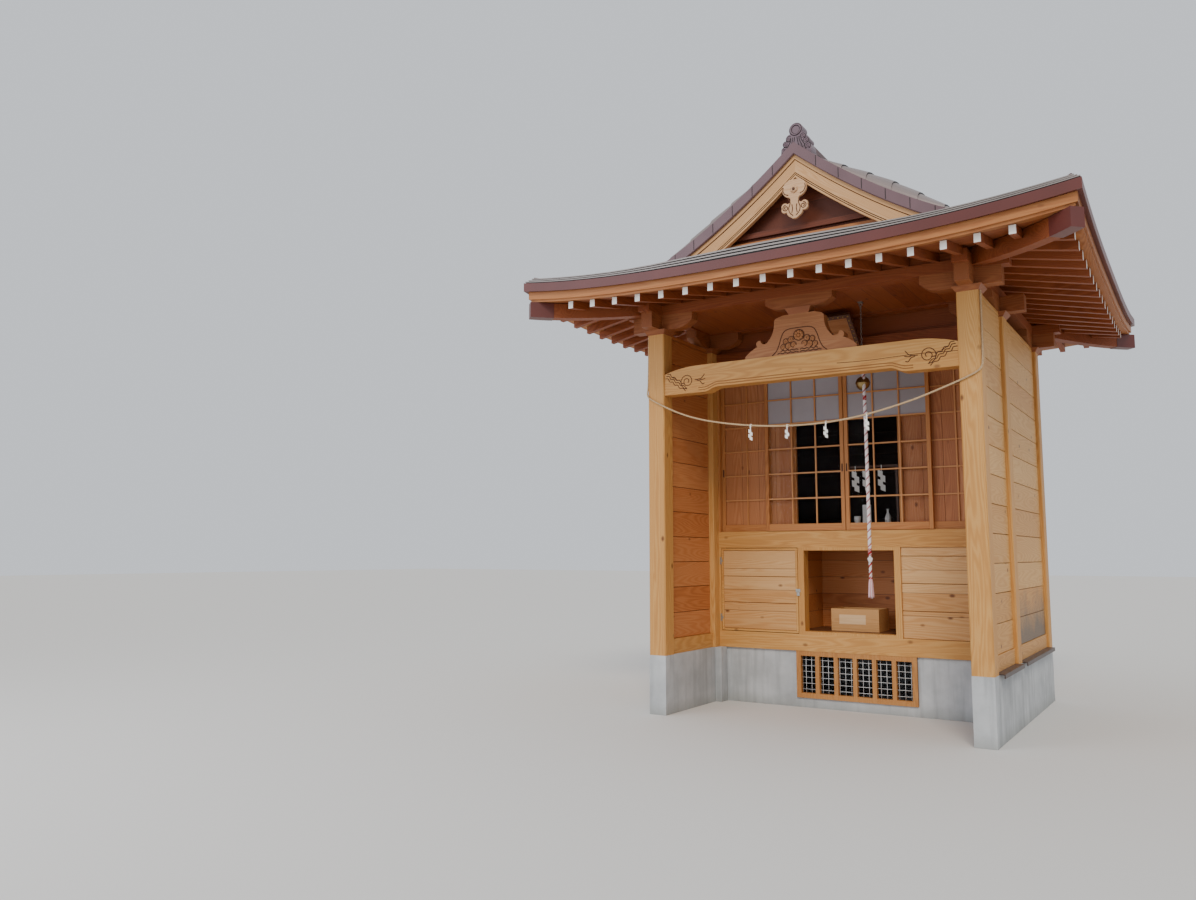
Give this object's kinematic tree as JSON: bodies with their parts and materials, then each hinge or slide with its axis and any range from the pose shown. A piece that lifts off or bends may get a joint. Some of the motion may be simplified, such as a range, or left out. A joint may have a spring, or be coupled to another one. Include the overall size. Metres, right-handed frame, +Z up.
{
  "type": "wayside shrine",
  "caption": "Small timber shrine on a concrete foundation: an open porch before a hall with sliding lattice doors, under a curved hip-and-gable roof",
  "frame": {"origin": "middle of the plan at the foot of the foundation", "axes": "+X to the right seen from the front, -Y out of the porch front, +Z up"},
  "size_m": [4.15, 4.1, 4.695],
  "materials": {
    "cedar": "oiled planed softwood",
    "concrete": "fair-faced cast concrete",
    "sheet_metal": "brown coated steel sheet",
    "bell_brass": "dull",
    "iron": "zinc plated",
    "rope": "twisted cotton",
    "straw": "twisted straw",
    "glass": "clear"
  },
  "bodies": {
    "root": {"altar_shelf": "cedar", "bargeboards": "cedar", "bearing_block": "cedar", "bell_hook": "iron", "boat_bracket": "cedar", "bracket_arms_across": "cedar", "bracket_arms_along": "cedar", "ceiling_boards": "cedar", "corner_posts": "cedar", "cross_purlins": "cedar", "drip_flashing": "sheet_metal", "foundation": "concrete", "frog_leg_strut": "cedar", "front_and_rear_fascia": "cedar", "front_and_rear_rafters": "cedar", "front_and_rear_sills": "cedar", "gable_pendants": "cedar", "gable_walls": "cedar", "hall_floors": "cedar", "hinge_frame_leaves": "iron", "hip_end_caps": "sheet_metal", "hip_rafters": "cedar", "lattice_lintel": "cedar", "lattice_track": "cedar", "left_wall": "cedar", "lower_right_panel": "cedar", "middle_posts": "cedar", "name_plaque": "cedar", "niche_frame": "cedar", "niche_lining": "cedar", "offering_box": "cedar", "post_capitals": "cedar", "rainbow_beam": "cedar", "rear_wall": "cedar", "ridge_end_ornaments": "sheet_metal", "right_wall": "cedar", "roof_left_slope": "sheet_metal", "roof_ridge": "sheet_metal", "roof_right_slope": "sheet_metal", "roof_skirts": "sheet_metal", "side_fascia": "cedar", "side_purlins": "cedar", "side_rafters": "cedar", "side_sills": "cedar", "soffit_boards": "cedar", "straw_rope": "straw", "transom_boards": "cedar", "vent_grille": "cedar", "verge_caps": "sheet_metal", "waist_rail": "cedar"},
    "access_door": {"access_door": "cedar", "door_hardware": "iron"},
    "inner_left_door": {"inner_left_lattice_door": "cedar", "inner_left_glass": "glass"},
    "inner_right_door": {"inner_right_lattice_door": "cedar", "inner_right_glass": "glass"},
    "outer_left_door": {"outer_left_lattice_door": "cedar"},
    "outer_right_door": {"outer_right_lattice_door": "cedar"},
    "bell": {"bell": "bell_brass", "bell_rope": "rope"}
  },
  "joints": [
    {"name": "access_door_hinge", "type": "hinge", "parent": "root", "child": "access_door", "pos_m": [-1.1525, -0.2983, 1], "axis": [0, 0, -1], "range_deg": [0, 90]},
    {"name": "inner_left_slide", "type": "slide", "parent": "root", "child": "inner_left_door", "axis": [-1, 0, 0], "range_m": [0, 0.43]},
    {"name": "inner_right_slide", "type": "slide", "parent": "root", "child": "inner_right_door", "axis": [1, 0, 0], "range_m": [0, 0.43]},
    {"name": "outer_left_slide", "type": "slide", "parent": "root", "child": "outer_left_door", "axis": [1, 0, 0], "range_m": [0, 0.43]},
    {"name": "outer_right_slide", "type": "slide", "parent": "root", "child": "outer_right_door", "axis": [-1, 0, 0], "range_m": [0, 0.43]},
    {"name": "bell_swing", "type": "hinge", "parent": "root", "child": "bell", "pos_m": [0.325, -0.75, 3.266], "axis": [1, 0, 0], "range_deg": [-10, 10]}
  ]
}
